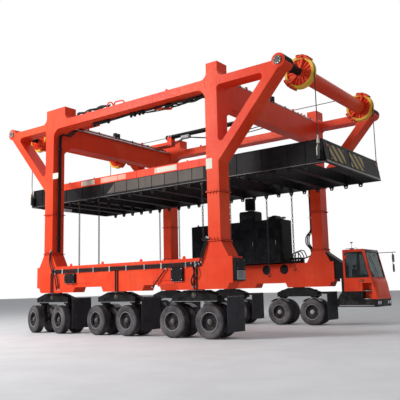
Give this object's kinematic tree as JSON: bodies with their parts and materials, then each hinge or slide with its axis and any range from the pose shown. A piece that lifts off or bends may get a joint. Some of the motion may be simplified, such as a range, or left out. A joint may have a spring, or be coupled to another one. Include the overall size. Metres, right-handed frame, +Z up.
{
  "type": "straddle carrier",
  "caption": "Wide straddle carrier: two steel side frames on steered twin-wheel bogies, with a lifting frame on four wire ropes and a driver's cab on one sill.",
  "frame": {"origin": "on the ground, under the middle of the overall width and length; the machine's own centre line lies 0.45 m towards -Y of it, because the cab sticks out on +Y", "axes": "+X forward to the cab end, +Y to the cab side, +Z up"},
  "size_m": [15.2606, 9.4878, 9.4323],
  "materials": {
    "vermilion_paint": "weathered gloss paint, orange-red",
    "black_paint": "satin black paint",
    "yellow_paint": "gloss yellow paint",
    "bare_steel": "galvanised",
    "cast_steel": "rough forged and galvanised steel",
    "wire_rope": "greased stranded wire",
    "hose_rubber": "matt black hose",
    "cab_glass": "clear, slightly tinted",
    "seat_fabric": "woven dark seat cover",
    "dark_plastic": "matt, moulded",
    "tyre_rubber": "dusty grey-black tread"
  },
  "bodies": {
    "chassis": {"near_sill": "vermilion_paint", "far_sill": "vermilion_paint", "leg_sections": "vermilion_paint", "near_portal": "vermilion_paint", "far_portal": "vermilion_paint", "cross_beams": "vermilion_paint", "end_pipes": "vermilion_paint", "nose_caps": "bare_steel", "rope_falls": "wire_rope", "rope_runs": "wire_rope", "hoist_cylinders": "black_paint", "cylinder_saddles": "vermilion_paint", "service_pipes": "bare_steel", "hose_lines": "hose_rubber", "sill_boxes": "black_paint", "power_pack": "black_paint", "cab_shell": "vermilion_paint", "cab_glass": "cab_glass", "cab_seat": "seat_fabric", "cab_console": "dark_plastic", "cab_carrier": "black_paint", "cab_mirrors": "dark_plastic", "bogie_beams": "black_paint", "mud_flaps": "hose_rubber"},
    "cab_door": {"cab_door": "vermilion_paint", "door_glass": "cab_glass"},
    "front_sheaves": {"front_sheaves": "yellow_paint"},
    "rear_sheaves": {"rear_sheaves": "yellow_paint"},
    "spreader": {"lifting_frame": "black_paint", "cross_members": "black_paint", "frame_rails": "vermilion_paint", "marker_plates": "yellow_paint", "frame_lugs": "black_paint", "rope_sockets": "cast_steel", "slings": "cast_steel"},
    "near_steer_1": {"near_strut_1": "black_paint"},
    "near_wheel_pair_1": {"near_wheels_1": "tyre_rubber"},
    "near_steer_2": {"near_strut_2": "black_paint"},
    "near_wheel_pair_2": {"near_wheels_2": "tyre_rubber"},
    "near_steer_3": {"near_strut_3": "black_paint"},
    "near_wheel_pair_3": {"near_wheels_3": "tyre_rubber"},
    "near_steer_4": {"near_strut_4": "black_paint"},
    "near_wheel_pair_4": {"near_wheels_4": "tyre_rubber"},
    "near_steer_5": {"near_strut_5": "black_paint"},
    "near_wheel_pair_5": {"near_wheels_5": "tyre_rubber"},
    "near_steer_6": {"near_strut_6": "black_paint"},
    "near_wheel_pair_6": {"near_wheels_6": "tyre_rubber"},
    "far_steer_1": {"far_strut_1": "black_paint"},
    "far_wheel_pair_1": {"far_wheels_1": "tyre_rubber"},
    "far_steer_2": {"far_strut_2": "black_paint"},
    "far_wheel_pair_2": {"far_wheels_2": "tyre_rubber"},
    "far_steer_3": {"far_strut_3": "black_paint"},
    "far_wheel_pair_3": {"far_wheels_3": "tyre_rubber"},
    "far_steer_4": {"far_strut_4": "black_paint"},
    "far_wheel_pair_4": {"far_wheels_4": "tyre_rubber"},
    "far_steer_5": {"far_strut_5": "black_paint"},
    "far_wheel_pair_5": {"far_wheels_5": "tyre_rubber"},
    "far_steer_6": {"far_strut_6": "black_paint"},
    "far_wheel_pair_6": {"far_wheels_6": "tyre_rubber"}
  },
  "joints": [
    {"name": "hoist", "type": "slide", "parent": "chassis", "child": "spreader", "axis": [0, 0, 1], "range_m": [-1.8, 1], "deforming": ["rope_falls"]},
    {"name": "front_sheaves_turn", "type": "hinge", "parent": "chassis", "child": "front_sheaves", "pos_m": [6.91, -0.45, 8.79], "axis": [0, 1, 0], "range_deg": [-113, 201]},
    {"name": "rear_sheaves_turn", "type": "hinge", "parent": "chassis", "child": "rear_sheaves", "pos_m": [-6.91, -0.45, 8.79], "axis": [0, 1, 0], "range_deg": [-201, 113]},
    {"name": "cab_door_hinge", "type": "hinge", "parent": "chassis", "child": "cab_door", "pos_m": [5.395, 3.07, 2.2], "axis": [0, 0, -1], "range_deg": [0, 100]},
    {"name": "near_steering_1", "type": "hinge", "parent": "chassis", "child": "near_steer_1", "pos_m": [-5.01, -4.15, 0.56], "axis": [0, 0, 1], "range_deg": [-30.8, 59.2]},
    {"name": "near_roll_1", "type": "hinge", "parent": "near_steer_1", "child": "near_wheel_pair_1", "pos_m": [-5.01, -4.15, 0.56], "axis": [0.2453, 0.9694, 0], "continuous": true},
    {"name": "near_steering_2", "type": "hinge", "parent": "chassis", "child": "near_steer_2", "pos_m": [-3.46, -4.15, 0.56], "axis": [0, 0, 1], "range_deg": [-33.85, 56.15]},
    {"name": "near_roll_2", "type": "hinge", "parent": "near_steer_2", "child": "near_wheel_pair_2", "pos_m": [-3.46, -4.15, 0.56], "axis": [0.1934, 0.9811, 0], "continuous": true},
    {"name": "near_steering_3", "type": "hinge", "parent": "chassis", "child": "near_steer_3", "pos_m": [-1.31, -4.15, 0.56], "axis": [0, 0, 1], "range_deg": [-38.19, 51.81]},
    {"name": "near_roll_3", "type": "hinge", "parent": "near_steer_3", "child": "near_wheel_pair_3", "pos_m": [-1.31, -4.15, 0.56], "axis": [0.1187, 0.9929, 0], "continuous": true},
    {"name": "near_steering_4", "type": "hinge", "parent": "chassis", "child": "near_steer_4", "pos_m": [0.24, -4.15, 0.56], "axis": [0, 0, 1], "range_deg": [-41.36, 48.64]},
    {"name": "near_roll_4", "type": "hinge", "parent": "near_steer_4", "child": "near_wheel_pair_4", "pos_m": [0.24, -4.15, 0.56], "axis": [0.0634, 0.998, 0], "continuous": true},
    {"name": "near_steering_5", "type": "hinge", "parent": "chassis", "child": "near_steer_5", "pos_m": [2.39, -4.15, 0.56], "axis": [0, 0, 1], "range_deg": [-45.81, 44.19]},
    {"name": "near_roll_5", "type": "hinge", "parent": "near_steer_5", "child": "near_wheel_pair_5", "pos_m": [2.39, -4.15, 0.56], "axis": [-0.0141, 0.9999, 0], "continuous": true},
    {"name": "near_steering_6", "type": "hinge", "parent": "chassis", "child": "near_steer_6", "pos_m": [3.94, -4.15, 0.56], "axis": [0, 0, 1], "range_deg": [-49.01, 40.99]},
    {"name": "near_roll_6", "type": "hinge", "parent": "near_steer_6", "child": "near_wheel_pair_6", "pos_m": [3.94, -4.15, 0.56], "axis": [-0.0699, 0.9976, 0], "continuous": true},
    {"name": "far_steering_1", "type": "hinge", "parent": "chassis", "child": "far_steer_1", "pos_m": [-5.01, 3.25, 0.56], "axis": [0, 0, 1], "range_deg": [-25.95, 64.05]},
    {"name": "far_roll_1", "type": "hinge", "parent": "far_steer_1", "child": "far_wheel_pair_1", "pos_m": [-5.01, 3.25, 0.56], "axis": [0.3264, 0.9452, 0], "continuous": true},
    {"name": "far_steering_2", "type": "hinge", "parent": "chassis", "child": "far_steer_2", "pos_m": [-3.46, 3.25, 0.56], "axis": [0, 0, 1], "range_deg": [-29.95, 60.05]},
    {"name": "far_roll_2", "type": "hinge", "parent": "far_steer_2", "child": "far_wheel_pair_2", "pos_m": [-3.46, 3.25, 0.56], "axis": [0.2597, 0.9657, 0], "continuous": true},
    {"name": "far_steering_3", "type": "hinge", "parent": "chassis", "child": "far_steer_3", "pos_m": [-1.31, 3.25, 0.56], "axis": [0, 0, 1], "range_deg": [-35.74, 54.26]},
    {"name": "far_roll_3", "type": "hinge", "parent": "far_steer_3", "child": "far_wheel_pair_3", "pos_m": [-1.31, 3.25, 0.56], "axis": [0.1609, 0.987, 0], "continuous": true},
    {"name": "far_steering_4", "type": "hinge", "parent": "chassis", "child": "far_steer_4", "pos_m": [0.24, 3.25, 0.56], "axis": [0, 0, 1], "range_deg": [-40.04, 49.96]},
    {"name": "far_roll_4", "type": "hinge", "parent": "far_steer_4", "child": "far_wheel_pair_4", "pos_m": [0.24, 3.25, 0.56], "axis": [0.0864, 0.9963, 0], "continuous": true},
    {"name": "far_steering_5", "type": "hinge", "parent": "chassis", "child": "far_steer_5", "pos_m": [2.39, 3.25, 0.56], "axis": [0, 0, 1], "range_deg": [-46.1, 43.9]},
    {"name": "far_roll_5", "type": "hinge", "parent": "far_steer_5", "child": "far_wheel_pair_5", "pos_m": [2.39, 3.25, 0.56], "axis": [-0.0192, 0.9998, 0], "continuous": true},
    {"name": "far_steering_6", "type": "hinge", "parent": "chassis", "child": "far_steer_6", "pos_m": [3.94, 3.25, 0.56], "axis": [0, 0, 1], "range_deg": [-50.46, 39.54]},
    {"name": "far_roll_6", "type": "hinge", "parent": "far_steer_6", "child": "far_wheel_pair_6", "pos_m": [3.94, 3.25, 0.56], "axis": [-0.0951, 0.9955, 0], "continuous": true}
  ],
  "couplings": [
    {"joint": "front_sheaves_turn", "follows": "hoist", "rad_per_m": -1.938},
    {"joint": "rear_sheaves_turn", "follows": "hoist", "rad_per_m": 1.938}
  ]
}
